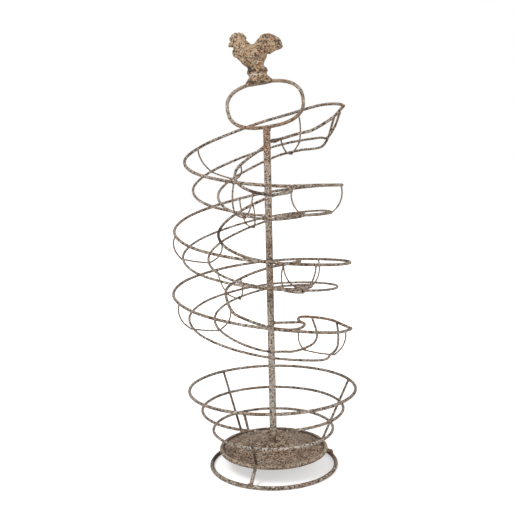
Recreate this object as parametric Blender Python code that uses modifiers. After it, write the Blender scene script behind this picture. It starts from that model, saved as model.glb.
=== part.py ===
"""Egg holder: a wire basket on a foot ring, a centre pole with a three-turn wire chute for
eggs, an oval carry handle and a cast rooster on top. All joints are welds, so nothing moves.
Metres, +Z up. The pole's axis is x = y = 0 while the pieces are made; the frame empty then
moves all of them so that the origin is on the floor, at the middle of the whole outline.
Angles round the pole grow anticlockwise seen from above, which is also the way eggs roll."""

import math

import bmesh
import bpy
from mathutils import Matrix, Vector

# Fits
SEAT_GAP = 0.0003            # weld seat: what is left between two pieces that touch
MERGE = 0.00001              # points nearer than this are one

# Foot ring, legs, tray
FOOT_RING_RADIUS = 0.077     # to the middle of the wire
FOOT_WIRE = 0.005            # wire sizes are diameters
LEG_WIRE = 0.0044
TRAY_RADIUS = 0.067
TRAY_LEVEL = 0.0215          # underside of the tray's flange above the floor
TRAY_SHEET = 0.0012
TRAY_DOME_RADIUS = 0.058
TRAY_DOME_RISE = 0.0155
TRAY_BEAD = 0.005            # diameter of the rolled edge
LEG_INSET = 0.0078           # top of a leg, inward from the tray's edge

# Basket
RIM_RADIUS = 0.102
RIM_HEIGHT = 0.0985
RIM_WIRE = 0.0038
MIDDLE_RING_HEIGHT = 0.0733
LOWER_RING_HEIGHT = 0.0476
RING_WIRE = 0.0034
UPRIGHT_WIRE = 0.003
UPRIGHT_DEGREES = (18, 129, 252)          # where they stand round the pole
LEG_DEGREES = (19, 129, 249)

# Pole, handle and the top's lean
POLE_DIAMETER = 0.0088
POLE_TOP = 0.4125
HANDLE_WIRE = 0.0043
HANDLE_WIDTH = 0.090         # over the wire's middle line
HANDLE_HEIGHT = 0.0523
HANDLE_OFFSET = 0.0026       # middle of the handle, sideways from the pole
HANDLE_LEAN = math.radians(7.9)
HANDLE_ROUNDNESS = 2.5       # exponent of the oval: 2 is an ellipse, more is squarer

# Chute: four rails round the pole, stations every quarter turn
CHUTE_TOP = 0.426            # height of the guide rails' middle line at the first station
CHUTE_DROP = 0.255
CHUTE_RADIUS = 0.087         # the widest that the middle line goes
GUIDE_GAP = 0.060            # between the two guide rails, an egg's length
FLOOR_GAP = 0.0305           # between the two floor rails
CHUTE_DEPTH = 0.0295
GUIDE_WIRE = 0.0036
FLOOR_WIRE = 0.003
STIRRUP_WIRE = 0.0019
TOP_REACH = 0.0914           # pole axis to the upper mouth's tip
END_REACH = 0.0978           # and to the lower mouth's tip
WELD_DROP = 0.027            # the inner guide rail's weld to the pole, below the chute's top
WELD_TURN = math.radians(50)
TIE_WIRE = 0.0034

# Finial
FINIAL_HEIGHT = 0.060
FINIAL_PLATE = 0.011
FINIAL_EDGE = 0.003
FINIAL_BODY = 0.019          # over the rooster's two flanks

# Eighth-turn stations: the middle line's fall over CHUTE_DROP
FALL_SHARES = (0, .011, .053, .117, .205, .282, .325, .325, .3275, .333, .365, .438, .519,
               .59, .635, .66, .675, .6965, .72, .7615, .81, .8615, .91, .959, 1.0)
# Quarter-turn stations: its radius over CHUTE_RADIUS, the bank, the depth over CHUTE_DEPTH
RADIUS_SHARES = (.67, .44, .77, .86, .66, .89, 1.0, .91, .765, .87, .985, .92, .85)
BANK_DEGREES = (28, 29, 16, 11, 5, 5, 8, 7, -2, 1, 4, 4, 2)
DEPTH_SHARES = (1.12, 1.06, 1.03, 1.02, 1.01, 1.05, 1.02, .98, 1.0, .98, 1.02, 1.17, 1.25)
# Half-turn stations: the guide gap, and how far out the floor is shifted, over GUIDE_GAP
GAP_SHARES = (1.0, 1.02, 1.0, .88, 1.0, 1.04, 1.0)
FLOOR_SHIFT_SHARES = (0, -.033, -.02, -.04, 0, -.07, 0)

# Ends of the rails. Places are x, y and height over the reach of that mouth, the height
# from the weld at the upper mouth and from the last station at the lower one.
TOP_TIP_SHARES = (1.0, 0, .43)
UPPER_BOW_SHARES = ((.93, -.04, .355), (.84, -.055, .27), (.595, -.065, .13), (.40, -.02, .085),
                    (.17, .045, .025))
UPPER_OUTER_SHARES = ((.945, .08, .458), (.86, .23, .475), (.75, .41, .481), (.625, .515, .462),
                      (.53, .57, .44), (.435, .62, .418))
OUTER_FLOOR_TOP_SHARES = ((.95, .04, .34), (.91, .075, .22), (.875, .13, .14), (.80, .27, .035))
INNER_FLOOR_TOP_SHARES = ((.865, -.04, .27), (.82, 0, .10), (.795, .02, .03), (.765, .045, -.03),
                          (.72, .075, -.08), (.665, .12, -.10), (.57, .2, -.11))
END_TIP_SHARES = (1.0, -.02, 0)
LOWER_OUTER_SHARES = ((.92, -.39, .062),)
LOWER_BOW_SHARES = ((-.465, -.39, .325), (-.30, -.49, .24), (-.07, -.55, .165), (.12, -.51, .115),
                    (.26, -.385, .08), (.37, -.25, .075), (.415, -.10, .085), (.36, .06, .09),
                    (.35, .18, .095), (.38, .34, .085),
                    (.47, .41, .075), (.63, .37, .065), (.785, .245, .055), (.915, .10, .02))
OUTER_FLOOR_END_SHARES = ((.55, -.79, -.195), (.69, -.62, -.172), (.775, -.43, -.15),
                          (.82, -.18, -.12), (.84, .04, -.06), (.84, .22, .05))
INNER_FLOOR_END_SHARES = ((.155, -.59, -.135), (.27, -.54, -.145), (.39, -.425, -.14),
                          (.505, -.265, -.125), (.565, -.08, -.09), (.57, .08, -.04),
                          (.555, .255, .015), (.53, .43, .08))
TIE_GUESS_SHARES = (.37, 0, .09)
# Angles, in degrees, over which each rail follows the stations
OUTER_GUIDE_SPAN = (64, 1030)
INNER_GUIDE_SPAN = (120, 895)
OUTER_FLOOR_SPAN = (35, 990)
INNER_FLOOR_SPAN = (35, 980)
STATION_STEP = 30

# Stirrups: angle along the chute, then the direction of the hanger's own plane, its sideways
# shift over GUIDE_GAP, and its lean: how far it goes sideways for each length downward
STIRRUPS = ((56, 66, -.22, 0), (152, 143, .40, -.7), (250, 250, -.02, -.1), (357, 346, .33, .05),
            (471, 109, .04, -.15), (548, 176, .55, -.6), (657, 306, -.21, -.32), (775, 40, .3, -.2),
            (848, 121, .24, -.2), (923, 189, .5, -.37), (1056, 337, -.23, -.4))
HUG_BENDS = (math.radians(45), math.radians(70))      # where it rounds a floor rail
LIMB_SHARES = (3 / 4, 1 / 2, 1 / 4)       # places on a limb, from the guide rail's end
LIMB_BULGE_SHARE = .15
SAG_SHARE = .02

# Rooster, in the leaning top's frame: x and height over FINIAL_HEIGHT, from the handle's top
ROOSTER_SHARES = ((.10, .20), (.12, .30), (.155, .37), (.19, .43), (.25, .49), (.33, .53), (.43, .55),
                  (.54, .57), (.555, .63), (.53, .71), (.49, .79), (.44, .85), (.37, .89), (.27, .915),
                  (.19, .885), (.11, .83), (.04, .765), (-.03, .735), (-.09, .76), (-.125, .81),
                  (-.12, .89), (-.15, .945), (-.22, .985), (-.32, 1.0), (-.40, .95), (-.445, .88),
                  (-.47, .80), (-.485, .76), (-.43, .735), (-.40, .68), (-.42, .64), (-.43, .59),
                  (-.38, .545), (-.34, .49), (-.30, .41), (-.22, .335), (-.17, .28), (-.17, .20))
BODY_SHARES = (-.06, .55, .30, .21)       # x, height, half length and half height
BODY_TURN = math.radians(14)
PEDESTAL_SHARES = ((0, .33), (.145, .33), (.155, .29), (.19, .26), (.205, .22), (.205, .195),
                   (.185, .165), (.18, .14), (.205, .10), (.24, .06), (.275, .02), (.285, -.03), (0, -.03))
PEDESTAL_MIDDLE_SHARE = -.008
PEDESTAL_FLATNESS_SHARE = .62
PEDESTAL_STEPS = 24
HANDLE_STEPS = 44
HANDLE_CREST = HANDLE_STEPS // 4
GROOVE_REACH = 5             # handle steps to each side of its crest
SMOOTH_ANGLE = math.radians(40)

RING_STEPS = 40
DOME_STEPS = 9
BEAD_STEPS = 7
BODY_STEPS = 20
THIN_SIDES = 6
ROUND_SIDES = 8
POLE_SIDES = 20
LONGEST_RUN = 0.040          # a wire's points lie at most this far apart
SHARPEST_BEND = math.radians(15)
FINE_STEPS = 12

SOURCE = bpy.data.collections.new("egg_holder")
CUTTERS = bpy.data.collections.new("cutters")
GREY_IRON = (.30, .25, .20)
RUST_IRON = (.33, .22, .14)
CAST_TAN = (.42, .27, .16)


def clear_scene():
    """Remove what a new file holds and link this part's two collections."""
    for thing in list(bpy.data.objects):
        bpy.data.objects.remove(thing, do_unlink=True)
    for collection in (SOURCE, CUTTERS):
        bpy.context.scene.collection.children.link(collection)


def finish(thing, colour, roughness=.8, metallic=.6):
    """Give a piece its own worn-iron material and hang it on the frame."""
    material = bpy.data.materials.new(thing.name)
    material.use_nodes = True
    shader = material.node_tree.nodes["Principled BSDF"]
    shader.inputs["Base Color"].default_value = (*colour, 1)
    shader.inputs["Roughness"].default_value = roughness
    shader.inputs["Metallic"].default_value = metallic
    thing.data.materials.clear()
    thing.data.materials.append(material)
    if thing.type == "MESH" and thing.data.polygons:
        thing.data.shade_smooth()
        thing.data.set_sharp_from_angle(angle=SMOOTH_ANGLE)
    thing.parent = FRAME
    return thing


def add_object(name, data, collection=SOURCE):
    thing = bpy.data.objects.new(name, data)
    collection.objects.link(thing)
    return thing


def take(name):
    """Name the primitive that was just added and put it in the part's collection."""
    thing = bpy.context.active_object
    thing.name = name
    for collection in thing.users_collection:
        collection.objects.unlink(thing)
    SOURCE.objects.link(thing)
    return thing


def wire(name, points, diameter, colour, sides=THIN_SIDES, cyclic=False):
    """A bent wire: a poly curve with a round section and flat ends."""
    curve = bpy.data.curves.new(name, "CURVE")
    curve.dimensions = "3D"
    curve.bevel_depth = diameter / 2
    curve.bevel_resolution = (sides - 4) // 2
    curve.use_fill_caps = True
    curve.twist_mode = "MINIMUM"
    spline = curve.splines.new("POLY")
    spline.points.add(len(points) - 1)
    for place, point in zip(spline.points, points):
        place.co = (*point, 1)
    spline.use_cyclic_u = cyclic
    return finish(add_object(name, curve), colour)


def turned(name, profile, colour, closed=False, steps=RING_STEPS):
    """Turn a profile in the XZ plane round Z."""
    mesh = bpy.data.meshes.new(name)
    corners = [(x, 0, z) for x, z in profile]
    edges = [(i, i + 1) for i in range(len(corners) - 1)]
    if closed:
        edges.append((len(corners) - 1, 0))
    mesh.from_pydata(corners, edges, [])
    thing = add_object(name, mesh)
    screw = thing.modifiers.new("turn", "SCREW")
    screw.steps = steps
    screw.render_steps = steps
    screw.use_merge_vertices = True
    screw.merge_threshold = MERGE
    return finish(thing, colour)


def ring(name, radius, height, diameter, colour, sides=THIN_SIDES):
    """A closed wire ring whose section has a flat side facing down."""
    half = diameter / 2
    turn = math.pi / sides
    corners = []
    for k in range(sides):
        angle = math.pi / 2 - turn - 2 * turn * k
        corners.append((radius + half * math.cos(angle), height + half * math.sin(angle)))
    return turned(name, corners, colour, closed=True)


def spline_value(values, place):
    """Value between a table's stations, as a smooth curve through them."""
    last = len(values) - 1
    k = max(0, min(int(place), last - 1))
    t = place - k
    a, b, c, d = (values[max(0, min(last, k + j))] for j in (-1, 0, 1, 2))
    return b + t / 2 * (c - a + t * (2 * a - 5 * b + 4 * c - d + t * (3 * (b - c) + d - a)))


def faired(points):
    """Many points on the smooth curve through a few."""
    count = (len(points) - 1) * FINE_STEPS
    return [spline_value(points, k / FINE_STEPS) for k in range(count + 1)]


def thinned(points):
    """The same path with few points: they lie closer where it bends more."""
    spent = [0]
    for k in range(1, len(points)):
        run = points[k] - points[k - 1]
        bend = run.angle(points[k - 1] - points[k - 2]) if k > 1 else 0
        spent.append(spent[-1] + run.length / LONGEST_RUN + bend / SHARPEST_BEND)
    count = max(1, round(spent[-1]))
    out = []
    k = 0
    for n in range(count + 1):
        goal = spent[-1] * n / count
        while k < len(points) - 2 and spent[k + 1] < goal:
            k += 1
        share = (goal - spent[k]) / (spent[k + 1] - spent[k])
        out.append(points[k].lerp(points[k + 1], share))
    return out


def nearest(point, path):
    """Distance from a point to a path, and the path's direction there."""
    best = (math.inf, None)
    for a, b in zip(path, path[1:]):
        side = b - a
        share = max(0, min(1, (point - a).dot(side) / side.length_squared))
        distance = (point - a - side * share).length
        if distance < best[0]:
            best = (distance, side.normalized())
    return best


def butted(path, own, other_path, other):
    """Cut a path off where, past its middle, its flat end just seats against another wire."""
    before = math.inf
    for k in range(len(path) // 2, len(path)):
        distance, along = nearest(path[k], other_path)
        slant = abs((path[k] - path[k - 1]).normalized().dot(along))
        need = other / 2 + SEAT_GAP + own / 2 * slant
        if distance < need:
            share = (before - need) / (before - distance)
            return path[:k] + [path[k - 1].lerp(path[k], max(0, min(1, share)))]
        before = distance
    return path


def chute_point(degrees, across, depth):
    """A place on the chute: across is outward from the middle line, depth is downward,
    both square to the banked trough."""
    radius = CHUTE_RADIUS * spline_value(RADIUS_SHARES, degrees / 90)
    height = CHUTE_TOP - CHUTE_DROP * spline_value(FALL_SHARES, degrees / 45)
    bank = math.radians(spline_value(BANK_DEGREES, degrees / 90))
    out = radius + across * math.cos(bank) + depth * math.sin(bank)
    up = height + across * math.sin(bank) - depth * math.cos(bank)
    turn = math.radians(degrees)
    return Vector((out * math.cos(turn), out * math.sin(turn), up))


def guide_point(degrees, side):
    half = GUIDE_GAP / 2 * spline_value(GAP_SHARES, degrees / 180)
    return chute_point(degrees, side * half, 0)


def floor_point(degrees, side):
    depth = CHUTE_DEPTH * spline_value(DEPTH_SHARES, degrees / 90)
    shift = GUIDE_GAP * spline_value(FLOOR_SHIFT_SHARES, degrees / 180)
    return chute_point(degrees, shift + side * FLOOR_GAP / 2, depth)


def followed(make, side, span):
    """A rail's places over the angles where it follows the stations."""
    first, last = span
    count = round((last - first) / STATION_STEP)
    return [make(first + (last - first) * k / count, side) for k in range(count + 1)]


def mouth_points(shares, reach, height):
    return [Vector((x * reach, y * reach, height + z * reach)) for x, y, z in shares]


def upper(shares):
    return mouth_points(shares, TOP_REACH, CHUTE_TOP - WELD_DROP)


def lower(shares):
    return mouth_points(shares, END_REACH, CHUTE_TOP - CHUTE_DROP)


def rail_paths():
    """The middle lines of the four rails, each from the top down, cut where they meet."""
    weld_radius = POLE_DIAMETER / 2 + SEAT_GAP + GUIDE_WIRE / 2
    weld = around(weld_radius, WELD_TURN, CHUTE_TOP - WELD_DROP)
    outer = faired(upper((TOP_TIP_SHARES,)) + upper(UPPER_OUTER_SHARES)
                   + followed(guide_point, 1, OUTER_GUIDE_SPAN)
                   + lower(LOWER_OUTER_SHARES) + lower((END_TIP_SHARES,)))
    inner = faired(upper((TOP_TIP_SHARES,)) + upper(UPPER_BOW_SHARES) + [weld]
                   + followed(guide_point, -1, INNER_GUIDE_SPAN)
                   + lower(LOWER_BOW_SHARES) + lower((END_TIP_SHARES,)))
    inner = both_butted(inner, GUIDE_WIRE, ((outer, GUIDE_WIRE),))
    guides = ((outer, GUIDE_WIRE), (inner, GUIDE_WIRE))
    outer_floor = faired(upper(OUTER_FLOOR_TOP_SHARES) + followed(floor_point, 1, OUTER_FLOOR_SPAN)
                         + lower(OUTER_FLOOR_END_SHARES))
    inner_floor = faired(upper(INNER_FLOOR_TOP_SHARES) + followed(floor_point, -1, INNER_FLOOR_SPAN)
                         + lower(INNER_FLOOR_END_SHARES))
    outer_floor = both_butted(outer_floor, FLOOR_WIRE, guides)
    inner_floor = both_butted(inner_floor, FLOOR_WIRE, guides)
    return outer, inner, outer_floor, inner_floor


def both_butted(path, own, others):
    """Seat both ends of a path against the wires that it meets."""
    for _ in range(2):
        for other_path, other in others:
            path = butted(path, own, other_path, other)
        path.reverse()
    return path


def crossing(path, origin, square, near):
    """Where a path cuts the plane through origin whose normal is square, closest to near."""
    found = []
    for a, b in zip(path, path[1:]):
        before = (a - origin).dot(square)
        after = (b - origin).dot(square)
        if before * after <= 0 and before != after:
            found.append(a.lerp(b, before / (before - after)))
    return min(found, key=lambda point: (point - near).length)


def stirrup_path(paths, degrees, direction, shift, lean):
    """A hanger: it starts under the outer guide rail, runs below both floor rails with a
    slight sag between them, and ends under the inner guide rail."""
    guesses = (guide_point(degrees, 1), guide_point(degrees, -1),
               floor_point(degrees, 1), floor_point(degrees, -1))
    turn = math.radians(direction)
    sideways = Vector((-math.sin(turn), math.cos(turn), 0))
    origin = sideways * shift * GUIDE_GAP
    origin.z = (guesses[0].z + guesses[1].z) / 2
    square = Vector((sideways.x, sideways.y, lean)).normalized()
    a, d, b, c = (crossing(path, origin, square, near) for path, near in zip(paths, guesses))
    out = (b - c).normalized()
    down = (b + c - a - d).normalized()
    down = (down - out * down.dot(out)).normalized()
    slants = [abs(nearest(place, path)[1].dot(square)) for place, path in zip((a, d, b, c), paths)]
    hugs = [(FLOOR_WIRE / slant + STIRRUP_WIRE) / 2 + SEAT_GAP for slant in slants[2:]]
    seats = [(GUIDE_WIRE / slant) / 2 + SEAT_GAP for slant in slants[:2]]
    limbs = []
    for rail, guide, outward, hug, seat in zip((b, c), (a, d), (out, -out), hugs, seats):
        bends = [rail + (outward * math.cos(bend) + down * math.sin(bend)) * hug for bend in HUG_BENDS]
        chord = guide - bends[0]
        bulge = (outward - chord * outward.dot(chord) / chord.length_squared).normalized()
        bulge *= LIMB_BULGE_SHARE * chord.length
        limb = [bends[0] + chord * share + bulge * 4 * share * (1 - share) for share in LIMB_SHARES]
        end = guide + (limb[0] - guide).normalized() * seat
        limbs.append([end] + limb + bends)
    lowest = (b + c) / 2 + down * (max(hugs) + SAG_SHARE * (b - c).length)
    return limbs[0] + [lowest] + limbs[1][::-1]


def leaning_bar(name, foot, head, diameter, colour, sides=ROUND_SIDES):
    """A straight wire between two places whose two ends are cut level."""
    bpy.ops.mesh.primitive_cylinder_add(vertices=sides, radius=diameter / 2, depth=head.z - foot.z)
    thing = take(name)
    lean = Matrix.Identity(4)
    lean[0][2] = (head.x - foot.x) / (head.z - foot.z)
    lean[1][2] = (head.y - foot.y) / (head.z - foot.z)
    thing.data.transform(Matrix.Translation((foot + head) / 2) @ lean)
    return finish(thing, colour)


def around(radius, angle, height):
    return Vector((radius * math.cos(angle), radius * math.sin(angle), height))


def foot_and_tray():
    """Foot ring on the floor, three leaning legs and the domed tray that they carry."""
    ring("foot_ring", FOOT_RING_RADIUS, foot_middle(), FOOT_WIRE, GREY_IRON, ROUND_SIDES)
    top = TRAY_LEVEL - SEAT_GAP
    bottom = 2 * foot_middle() + SEAT_GAP
    for number, degrees in enumerate(LEG_DEGREES, 1):
        angle = math.radians(degrees)
        foot = around(FOOT_RING_RADIUS, angle, bottom)
        head = around(TRAY_RADIUS - LEG_INSET, angle, top)
        leaning_bar(f"leg_{number}", foot, head, LEG_WIRE, RUST_IRON)
    upper_side = [(radius, height + TRAY_SHEET) for radius, height in tray_underside()]
    turned("tray", upper_side + tray_bead() + tray_underside()[::-1], GREY_IRON)


def tray_underside():
    """Radius and height along the dome's underside, from its crown to the flange."""
    profile = []
    for k in range(DOME_STEPS + 1):
        share = k / DOME_STEPS
        rise = TRAY_DOME_RISE * (1 + math.cos(math.pi * share)) / 2
        profile.append((TRAY_DOME_RADIUS * share, TRAY_LEVEL + rise))
    return profile


def tray_bead():
    """The rolled edge, from where it leaves the flange's upper side round to the underside."""
    half = TRAY_BEAD / 2
    start = math.pi - math.asin(TRAY_SHEET / TRAY_BEAD)
    profile = []
    for k in range(BEAD_STEPS + 1):
        angle = start * (1 - 2 * k / BEAD_STEPS)
        height = TRAY_LEVEL + TRAY_SHEET / 2 + half * math.sin(angle)
        profile.append((TRAY_RADIUS - half + half * math.cos(angle), height))
    return profile


def foot_middle():
    """Height of the foot ring's middle: its flat underside is on the floor."""
    return FOOT_WIRE / 2 * math.cos(math.pi / ROUND_SIDES)


def upright_radius(height):
    """How far out the uprights' middle line is at a height."""
    low, high = upright_ends()
    return low.x + (high.x - low.x) * (height - low.z) / (high.z - low.z)


def upright_ends():
    """Foot and head of an upright, as if it stood on the x axis."""
    low = TRAY_LEVEL + (TRAY_SHEET + TRAY_BEAD) / 2 + SEAT_GAP
    high = RIM_HEIGHT - RIM_WIRE / 2 - SEAT_GAP
    crest = TRAY_RADIUS - TRAY_BEAD / 2
    return Vector((crest + UPRIGHT_WIRE / 2, 0, low)), Vector((RIM_RADIUS, 0, high))


def basket():
    """Rim, two inner rings and three uprights; the rings are welded inside the uprights."""
    ring("basket_rim", RIM_RADIUS, RIM_HEIGHT, RIM_WIRE, GREY_IRON)
    low, high = upright_ends()
    lean = math.atan2(high.x - low.x, high.z - low.z)
    inward = (UPRIGHT_WIRE / 2 + RING_WIRE / 2 + SEAT_GAP) / math.cos(lean)
    rings = {"basket_middle_ring": MIDDLE_RING_HEIGHT, "basket_lower_ring": LOWER_RING_HEIGHT}
    for name, height in rings.items():
        ring(name, upright_radius(height) - inward, height, RING_WIRE, GREY_IRON)
    for number, degrees in enumerate(UPRIGHT_DEGREES, 1):
        angle = math.radians(degrees)
        foot = around(low.x, angle, low.z)
        head = around(high.x, angle, high.z)
        leaning_bar(f"basket_upright_{number}", foot, head, UPRIGHT_WIRE, RUST_IRON)


def pole():
    bottom = TRAY_LEVEL + TRAY_SHEET + TRAY_DOME_RISE + SEAT_GAP
    leaning_bar("centre_pole", Vector((0, 0, bottom)), Vector((0, 0, POLE_TOP)), POLE_DIAMETER,
                GREY_IRON, POLE_SIDES)


def chute():
    """Four rails, eleven hangers and the bar that ties the lower bow to the pole."""
    paths = rail_paths()
    names = ("outer_guide_rail", "inner_guide_rail", "outer_floor_rail", "inner_floor_rail")
    sizes = (GUIDE_WIRE, GUIDE_WIRE, FLOOR_WIRE, FLOOR_WIRE)
    for name, path, size in zip(names, paths, sizes):
        wire(name, thinned(path), size, RUST_IRON)
    for number, place in enumerate(STIRRUPS, 1):
        path = stirrup_path(paths, *place)
        wire(f"stirrup_{number:02d}", path, STIRRUP_WIRE, GREY_IRON)
    inner = paths[1]
    guess = lower((TIE_GUESS_SHARES,))[0]
    seat = crossing(inner, Vector(), Vector((0, 1, 0)), guess)
    start = Vector((POLE_DIAMETER / 2 + SEAT_GAP, 0, seat.z))
    bar = butted(faired([start, start.lerp(seat, 1 / 2), seat]), TIE_WIRE, inner, GUIDE_WIRE)
    wire("tie_bar", thinned(bar), TIE_WIRE, RUST_IRON)


def handle_point(angle):
    """A place on the handle's middle line, in the leaning top's own x and z."""
    cosine, sine = math.cos(angle), math.sin(angle)
    power = 2 / HANDLE_ROUNDNESS
    x = HANDLE_OFFSET + HANDLE_WIDTH / 2 * math.copysign(abs(cosine) ** power, cosine)
    z = HANDLE_HEIGHT / 2 * (1 + math.copysign(abs(sine) ** power, sine))
    return Vector((x, 0, z))


def leaning_top():
    """Where the top's own frame is: on the pole, leaning to the left."""
    rise = SEAT_GAP + HANDLE_WIRE / 2 / math.cos(HANDLE_LEAN) + POLE_DIAMETER / 2 * math.tan(HANDLE_LEAN)
    return Matrix.Translation((0, 0, POLE_TOP + rise)) @ Matrix.Rotation(-HANDLE_LEAN, 4, "Y")


def carry_handle():
    """One closed oval wire, welded at its lowest side to the pole's top."""
    points = [handle_point(2 * math.pi * k / HANDLE_STEPS) for k in range(HANDLE_STEPS)]
    thing = wire("carry_handle", points, HANDLE_WIRE, RUST_IRON, ROUND_SIDES, cyclic=True)
    thing.matrix_world = leaning_top()


def as_mesh(thing):
    """Turn a curve or a modified piece into a plain closed mesh of the same name."""
    bpy.context.view_layer.update()
    evaluated = thing.evaluated_get(bpy.context.evaluated_depsgraph_get())
    mesh = bpy.data.meshes.new_from_object(evaluated)
    shape = bmesh.new()
    shape.from_mesh(mesh)
    bmesh.ops.remove_doubles(shape, verts=shape.verts, dist=MERGE)
    bmesh.ops.recalc_face_normals(shape, faces=shape.faces)
    shape.to_mesh(mesh)
    shape.free()
    name, place = thing.name, thing.matrix_world.copy()
    bpy.data.objects.remove(thing, do_unlink=True)
    made = add_object(name, mesh)
    made.matrix_world = place
    return made


def join(thing, tool, operation):
    """Cut or join one mesh with another, which then stays hidden among the cutters."""
    for collection in tool.users_collection:
        collection.objects.unlink(tool)
    CUTTERS.objects.link(tool)
    tool.parent = FRAME
    tool.hide_render = True
    tool.display_type = "WIRE"
    step = thing.modifiers.new(tool.name, "BOOLEAN")
    step.operation = operation
    step.object = tool


def rooster_plate():
    """The rooster's outline as a plate with rounded edges."""
    curve = bpy.data.curves.new("rooster_finial", "CURVE")
    curve.dimensions = "2D"
    curve.fill_mode = "BOTH"
    curve.extrude = FINIAL_PLATE / 2 - FINIAL_EDGE
    curve.bevel_depth = FINIAL_EDGE
    curve.bevel_resolution = 1
    curve.offset = -FINIAL_EDGE
    spline = curve.splines.new("POLY")
    spline.points.add(len(ROOSTER_SHARES) - 1)
    for place, (x, z) in zip(spline.points, ROOSTER_SHARES):
        place.co = (x * FINIAL_HEIGHT, z * FINIAL_HEIGHT, 0, 1)
    spline.use_cyclic_u = True
    thing = add_object("rooster_finial", curve)
    thing.matrix_world = Matrix.Rotation(math.pi / 2, 4, "X")
    return as_mesh(thing)


def pedestal():
    """The moulded foot under the rooster, turned and then flattened front to back."""
    corners = [(radius * FINIAL_HEIGHT, z * FINIAL_HEIGHT) for radius, z in PEDESTAL_SHARES]
    thing = turned("pedestal", corners, CAST_TAN, steps=PEDESTAL_STEPS)
    thing.parent = None
    middle = Matrix.Translation((PEDESTAL_MIDDLE_SHARE * FINIAL_HEIGHT, 0, 0))
    thing.matrix_world = middle @ Matrix.Diagonal((1, PEDESTAL_FLATNESS_SHARE, 1, 1))
    return as_mesh(thing)


def finial():
    """One casting: rooster, full body and pedestal, with a groove for the handle's wire."""
    thing = rooster_plate()
    bpy.ops.mesh.primitive_uv_sphere_add(segments=BODY_STEPS, ring_count=BODY_STEPS // 2, radius=1)
    body = take("body")
    x, z, long, tall = (share * FINIAL_HEIGHT for share in BODY_SHARES)
    scale = Matrix.Diagonal((long, FINIAL_BODY / 2, tall, 1))
    body.data.transform(Matrix.Translation((x, 0, z)) @ Matrix.Rotation(BODY_TURN, 4, "Y") @ scale)
    join(thing, body, "UNION")
    join(thing, pedestal(), "UNION")
    sunk = (HANDLE_WIRE / 2 + SEAT_GAP) * 2
    places = range(HANDLE_CREST - GROOVE_REACH, HANDLE_CREST + GROOVE_REACH + 1)
    points = [handle_point(2 * math.pi * k / HANDLE_STEPS) for k in places]
    groove = wire("groove", points, sunk, CAST_TAN, ROUND_SIDES)
    groove.parent = None
    groove = as_mesh(groove)
    top = Vector((0, 0, HANDLE_HEIGHT))
    groove.data.transform(Matrix.Translation(-top))
    join(thing, groove, "DIFFERENCE")
    finish(thing, CAST_TAN, metallic=.4)
    seat = leaning_top() @ Matrix.Translation(top)
    for piece in [thing] + list(CUTTERS.objects):
        piece.matrix_world = seat @ piece.matrix_world


def stand_on_middle():
    """Move the frame so that the middle of the whole outline is over the origin."""
    bpy.context.view_layer.update()
    graph = bpy.context.evaluated_depsgraph_get()
    places = []
    for thing in SOURCE.objects:
        if thing.type != "EMPTY":
            evaluated = thing.evaluated_get(graph)
            places += [thing.matrix_world @ corner.co for corner in evaluated.to_mesh().vertices]
            evaluated.to_mesh_clear()
    FRAME.location = [-(min(axis) + max(axis)) / 2 for axis in list(zip(*places))[:2]] + [0]


clear_scene()
FRAME = add_object("frame", None)
foot_and_tray()
basket()
pole()
chute()
carry_handle()
finial()
stand_on_middle()
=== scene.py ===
"""Egg holder of worn iron: basket on a foot ring, pole with a three-turn wire chute for eggs,
oval carry handle and a cast rooster. Metres, +Z up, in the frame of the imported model."""

import math

import bpy
import numpy as np
from mathutils import Matrix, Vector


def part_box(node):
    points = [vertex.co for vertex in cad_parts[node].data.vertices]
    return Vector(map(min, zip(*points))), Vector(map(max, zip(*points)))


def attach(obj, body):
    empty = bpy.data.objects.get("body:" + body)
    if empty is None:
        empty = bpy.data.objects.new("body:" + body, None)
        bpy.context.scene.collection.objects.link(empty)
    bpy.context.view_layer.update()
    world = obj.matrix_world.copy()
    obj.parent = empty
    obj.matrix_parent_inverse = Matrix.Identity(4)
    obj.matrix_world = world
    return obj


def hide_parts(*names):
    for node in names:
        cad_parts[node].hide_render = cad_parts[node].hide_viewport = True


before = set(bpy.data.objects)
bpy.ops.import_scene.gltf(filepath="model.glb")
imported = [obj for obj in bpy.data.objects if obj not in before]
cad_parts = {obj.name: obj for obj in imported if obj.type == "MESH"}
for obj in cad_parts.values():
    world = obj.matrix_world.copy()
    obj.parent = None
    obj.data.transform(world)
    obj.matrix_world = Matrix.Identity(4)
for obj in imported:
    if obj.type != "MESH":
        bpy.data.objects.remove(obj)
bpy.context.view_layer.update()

# Camera
# A camera about 0.9 m in front of the rack and level with the first turn of its chute, turned
# a little downwards and slightly out of upright, as the photograph was taken.
pole_low, pole_high = (np.array(corner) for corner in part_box("centre_pole"))
AXIS = (pole_low + pole_high) / 2 * (1, 1, 0)
CAMERA_PLACE = AXIS + (-.00334, -.89165, .3664)
PITCH, YAW, ROLL = .11836, -.01248, -.02378
FOCAL_PIXELS, FRAME_PIXELS, SENSOR = 742.96, 515, 36
NEAREST_SEEN = .01


def unit(rows):
    """Rows scaled to a length of one."""
    return rows / np.linalg.norm(rows, axis=-1, keepdims=True)


def shown(name, data):
    """A new object, linked to the scene."""
    thing = bpy.data.objects.new(name, data)
    bpy.context.scene.collection.objects.link(thing)
    return thing


def stand(thing, side, top, back, place):
    """Put a camera or lamp at a place, with its own x, y and z along side, top and back."""
    turned = np.identity(4)
    turned[:3] = np.stack([side, top, back, place], axis=1)
    thing.matrix_world = Matrix(turned.tolist())


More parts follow.
